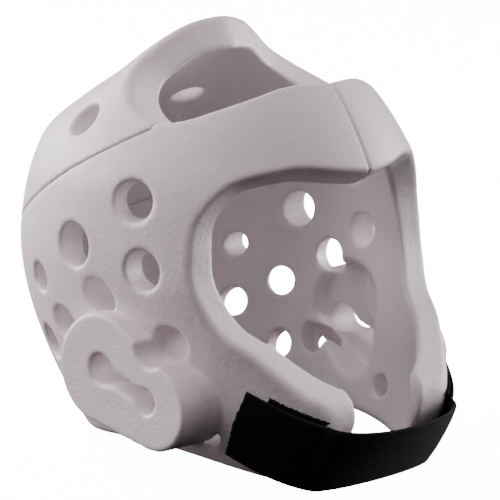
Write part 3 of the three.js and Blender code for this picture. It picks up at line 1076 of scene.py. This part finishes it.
class Shader:
    """Small helper that adds and joins the nodes of one material."""

    def __init__(self, name: str) -> None:
        """Starts a material with its Principled shader."""
        self.material = bpy.data.materials.new(name)
        self.material.use_nodes = True
        self.tree = self.material.node_tree
        self.surface = self.tree.nodes["Principled BSDF"]

    def add(self, kind: str, **settings: object) -> Node:
        """New node with its sockets or properties set by name.

        Args:
            kind: Blender's name of the node type.
            settings: Properties, or input sockets written with underscores for spaces.

        Returns:
            The node.
        """
        node = self.tree.nodes.new(kind)
        set_node(node, **settings)
        return node

    def join(self, start: Socket, end: Socket) -> None:
        """Joins two sockets."""
        self.tree.links.new(start, end)

    def mix(self, share: Socket, first: object, second: object) -> Socket:
        """Colour mixed from two colours or sockets by a share from a socket."""
        node = self.add("ShaderNodeMix", data_type="RGBA")
        self.join(share, node.inputs[0])
        for slot, colour in ((6, first), (7, second)):
            if isinstance(colour, Socket):
                self.join(colour, node.inputs[slot])
            else:
                node.inputs[slot].default_value = colour
        return node.outputs[2]

    def bump(
        self, height: Socket, depth: float, below: Node | None = None
    ) -> Node:
        """Bump of a depth in metres, on top of another bump if one is given."""
        node = self.add("ShaderNodeBump", Strength=1.0, Distance=depth)
        self.join(height, node.inputs["Height"])
        if below is not None:
            self.join(below.outputs[0], node.inputs["Normal"])
        return node


def foam_material(finish: FoamFinish) -> Material:
    """Material of the dipped foam.

    Args:
        finish: Its colours, gloss and relief.

    Returns:
        The material.
    """
    shader = Shader("dipped_foam")
    place = shader.add("ShaderNodeTexCoord").outputs["Object"]
    wrinkle = shader.add(
        "ShaderNodeTexNoise",
        Scale=finish.wrinkle_scale,
        Detail=finish.wrinkle_detail,
        Roughness=finish.wrinkle_roughness,
        Distortion=finish.wrinkle_distortion,
    )
    swell = shader.add(
        "ShaderNodeTexNoise",
        Scale=finish.swell_scale,
        Detail=finish.swell_detail,
        Roughness=finish.swell_roughness,
    )
    speck = shader.add("ShaderNodeTexVoronoi", Scale=finish.speck_scale)
    for node in (wrinkle, swell, speck):
        shader.join(place, node.inputs["Vector"])
    # Inner surface mixed to a lighter colour: painted light that brightens the inside of the shell
    painted_inner_light = shader.add("ShaderNodeAttribute", attribute_name="painted_inner_light")
    base = shader.mix(painted_inner_light.outputs["Fac"], finish.outside, finish.painted_inner_light)
    spot = shader.add("ShaderNodeMath", operation="LESS_THAN")
    shader.join(speck.outputs["Distance"], spot.inputs[0])
    spot.inputs[1].default_value = finish.speck_size
    shader.join(shader.mix(spot.outputs[0], base, finish.speck), shader.surface.inputs["Base Color"])
    smoothest = finish.roughness - finish.roughness_swing
    roughest = finish.roughness + finish.roughness_swing
    rough = shader.add("ShaderNodeMapRange", To_Min=smoothest, To_Max=roughest)
    shader.join(swell.outputs["Fac"], rough.inputs["Value"])
    shader.join(rough.outputs[0], shader.surface.inputs["Roughness"])
    set_node(shader.surface, Coat_Weight=finish.coat, Coat_Roughness=finish.coat_roughness)
    soft = shader.bump(swell.outputs["Fac"], finish.swell_depth)
    fine = shader.bump(wrinkle.outputs["Fac"], finish.wrinkle_depth, soft)
    shader.join(fine.outputs[0], shader.surface.inputs["Normal"])
    return shader.material


def cloth_material(name: str, finish: ClothFinish) -> Material:
    """Material of a black cloth with threads along and across its UV map.

    Args:
        name: Name of the material.
        finish: Its colours and relief.

    Returns:
        The material.
    """
    shader = Shader(name)
    place = shader.add("ShaderNodeUVMap", uv_map="cloth").outputs[0]
    waves = []
    for direction, pitch in (("Y", finish.along_pitch), ("X", finish.across_pitch)):
        wave = shader.add(
            "ShaderNodeTexWave",
            bands_direction=direction,
            Scale=BAND_SCALE / pitch,
            Distortion=finish.waver,
            Detail=finish.waver_detail,
            Detail_Scale=finish.waver_scale,
        )
        shader.join(place, wave.inputs["Vector"])
        waves.append(wave.outputs["Fac"])
    weave = shader.add("ShaderNodeMath", operation="MULTIPLY_ADD")
    for slot, wave in enumerate(waves):
        shader.join(wave, weave.inputs[slot])
    shader.join(waves[0], weave.inputs[2])
    fuzz = shader.add("ShaderNodeTexNoise", Scale=finish.fuzz_scale, Detail=finish.fuzz_detail)
    shader.join(shader.add("ShaderNodeTexCoord").outputs["Object"], fuzz.inputs["Vector"])
    share = shader.add("ShaderNodeMath", operation="MULTIPLY")
    shader.join(weave.outputs[0], share.inputs[0])
    shader.join(fuzz.outputs["Fac"], share.inputs[1])
    shader.join(shader.mix(share.outputs[0], finish.dark, finish.light), shader.surface.inputs["Base Color"])
    set_node(
        shader.surface,
        Roughness=finish.roughness,
        Sheen_Weight=finish.sheen,
        Sheen_Roughness=finish.sheen_roughness,
        Specular_IOR_Level=finish.specular,
    )
    relief = shader.bump(share.outputs[0], finish.relief)
    shader.join(relief.outputs[0], shader.surface.inputs["Normal"])
    return shader.material


@dataclass(frozen=True)
class SoftLight:
    """Area light that points at the guard."""

    name: str
    azimuth: float
    elevation: float
    power: float
    distance: float = 2.0
    size: float = 1.2

    def build(self, target: Vector, tint: Point) -> None:
        """Adds the light.

        Args:
            target: Point that it faces, in metres.
            tint: Colour of its light.
        """
        light = bpy.data.lights.new(self.name, "AREA")
        light.shape = "DISK"
        light.size = self.size
        light.energy = self.power
        light.color = tint
        away = direction(self.azimuth, self.elevation)
        lamp = bpy.data.objects.new(self.name, light)
        lamp.location = target + away * self.distance
        lamp.rotation_euler = away.to_track_quat("Z", "Y").to_euler()
        bpy.context.scene.collection.objects.link(lamp)


def direction(azimuth: float, elevation: float) -> Vector:
    """Unit vector from the guard towards a viewer at that azimuth and elevation in degrees."""
    turn = math.radians(azimuth)
    rise = math.radians(elevation)
    return Vector((math.sin(turn) * math.cos(rise), -math.cos(turn) * math.cos(rise), math.sin(rise)))


@dataclass(frozen=True)
class Studio:
    """Camera, pale floor and soft lights."""

    azimuth: float = -47.39
    elevation: float = 12.29
    roll: float = 2.68
    distance: float = 1.60084
    target: Point = (0.00587, -0.00464, 0.10312)
    sensor: float = 36.0
    lens: float = 213.61
    floor_size: float = 12.0
    floor_colour: Colour = (0.92, 0.92, 0.92, 1.0)
    floor_roughness: float = 0.9
    floor_glow: float = 16.0
    tint: Point = (1.0, 0.93, 0.955)
    air_from: Point = (-0.1, 0.3, 0.94)
    air_fade: Pair = (-0.3, 0.75)
    air_low: float = 0.015
    air_high: float = 0.55
    lights: tuple[SoftLight, ...] = (
        SoftLight("left_rear", -150.0, 14.0, 34.0, size=1.0),
        SoftLight("left_top", -110.0, 58.0, 18.0),
        SoftLight("rear", 180.0, 12.0, 34.0),
        SoftLight("right_low", 75.0, 8.0, 46.0),
        SoftLight("right_top", 50.0, 25.0, 10.0),
    )

    def build(self) -> None:
        """Adds everything round the guard."""
        for light in self.lights:
            light.build(Vector(self.target), self.tint)
        self.build_camera()
        self.build_floor()
        self.build_sky()

    def build_sky(self) -> None:
        """Adds the plain sky, which is light above and behind the guard and dark below it."""
        world = bpy.data.worlds.new("studio")
        bpy.context.scene.world = world
        world.use_nodes = True
        tree = world.node_tree
        place = tree.nodes.new("ShaderNodeTexCoord")
        slope = tree.nodes.new("ShaderNodeVectorMath")
        slope.operation = "DOT_PRODUCT"
        slope.inputs[1].default_value = self.air_from
        shade = tree.nodes.new("ShaderNodeMapRange")
        shade.interpolation_type = "SMOOTHSTEP"
        low, high = self.air_fade
        set_node(shade, From_Min=low, From_Max=high, To_Min=self.air_low, To_Max=self.air_high)
        background = tree.nodes["Background"]
        set_node(background, Color=(*self.tint, 1.0))
        tree.links.new(place.outputs["Generated"], slope.inputs[0])
        tree.links.new(slope.outputs["Value"], shade.inputs["Value"])
        tree.links.new(shade.outputs[0], background.inputs["Strength"])

    def build_camera(self) -> None:
        """Adds the camera at the photograph's angle."""
        back = direction(self.azimuth, self.elevation)
        level = Vector((0, 0, 1)).cross(back).normalized()
        upright = back.cross(level)
        turn = math.radians(self.roll)
        right = level * math.cos(turn) + upright * math.sin(turn)
        top = upright * math.cos(turn) - level * math.sin(turn)
        data = bpy.data.cameras.new("photo_view")
        data.sensor_width = self.sensor
        data.lens = self.lens
        camera = bpy.data.objects.new("photo_view", data)
        camera.matrix_world = Matrix.Translation(Vector(self.target) + back * self.distance) @ Matrix(
            (right, top, back)
        ).transposed().to_4x4()
        bpy.context.scene.collection.objects.link(camera)
        bpy.context.scene.camera = camera

    def build_floor(self) -> None:
        """Adds the floor that the guard stands on."""
        half = self.floor_size / 2
        mesh = bpy.data.meshes.new("floor")
        outline = [(-half, -half, 0), (half, -half, 0), (half, half, 0), (-half, half, 0)]
        mesh.from_pydata(outline, [], [(0, 1, 2, 3)])
        shader = Shader("floor")
        set_node(
            shader.surface,
            Base_Color=self.floor_colour,
            Roughness=self.floor_roughness,
            Emission_Color=self.floor_colour,
            Emission_Strength=self.floor_glow,
        )
        mesh.materials.append(shader.material)
        floor = bpy.data.objects.new("floor", mesh)
        floor.visible_diffuse = False
        floor.visible_glossy = False
        bpy.context.scene.collection.objects.link(floor)


def corners(box: tuple) -> list[list[float]]:
    """Box as plain lists of numbers."""
    return [[float(value) for value in corner] for corner in box]


def main() -> None:
    """Dresses the frame."""
    logging.basicConfig(level=logging.INFO, format="%(name)s: %(message)s")
    shell = FoamShell()
    shell.build()
    strap = ChinStrap(shell.surface).build()
    patches = [HookPatch(shell.surface, side).build() for side in Side]
    for piece in (*shell.pieces.values(), strap, *patches):
        log.info("%s: %d faces", piece.name, len(piece.data.polygons))
    Studio().build()


if __name__ == "__main__":
    main()
